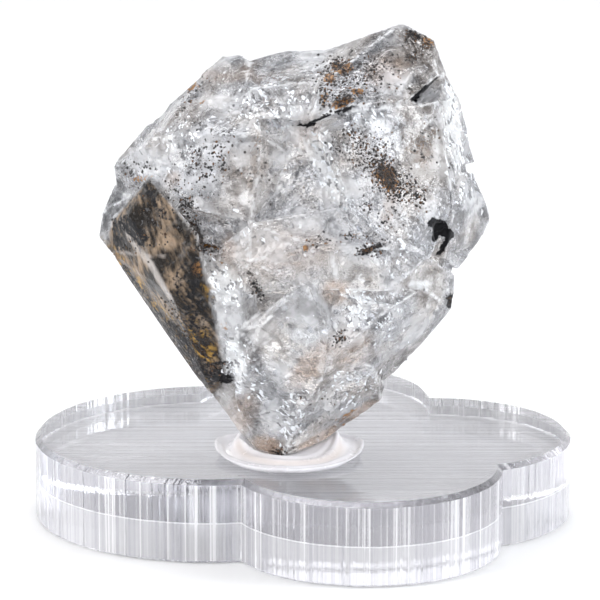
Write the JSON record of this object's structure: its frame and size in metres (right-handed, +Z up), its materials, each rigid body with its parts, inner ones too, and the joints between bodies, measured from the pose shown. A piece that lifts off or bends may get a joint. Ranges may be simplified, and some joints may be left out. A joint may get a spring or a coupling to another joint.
{
  "type": "quartz crystal on stand",
  "caption": "Rough quartz cluster with a smoky crystal at one edge, held upright by clear putty on a four-lobed clear acrylic plate.",
  "frame": {"origin": "middle of the plate's underside, which is also the middle of the whole object's base", "axes": "+Z up, -Y towards the front of the crystal, +X to the right as seen from the front"},
  "size_m": [0.097, 0.0928, 0.0927],
  "materials": {
    "clear_acrylic": "gloss",
    "clear_putty": "satin",
    "quartz": "gloss"
  },
  "bodies": {
    "root": {"acrylic_stand": "clear_acrylic", "putty_mount": "clear_putty", "quartz_crystal": "quartz"}
  },
  "joints": []
}
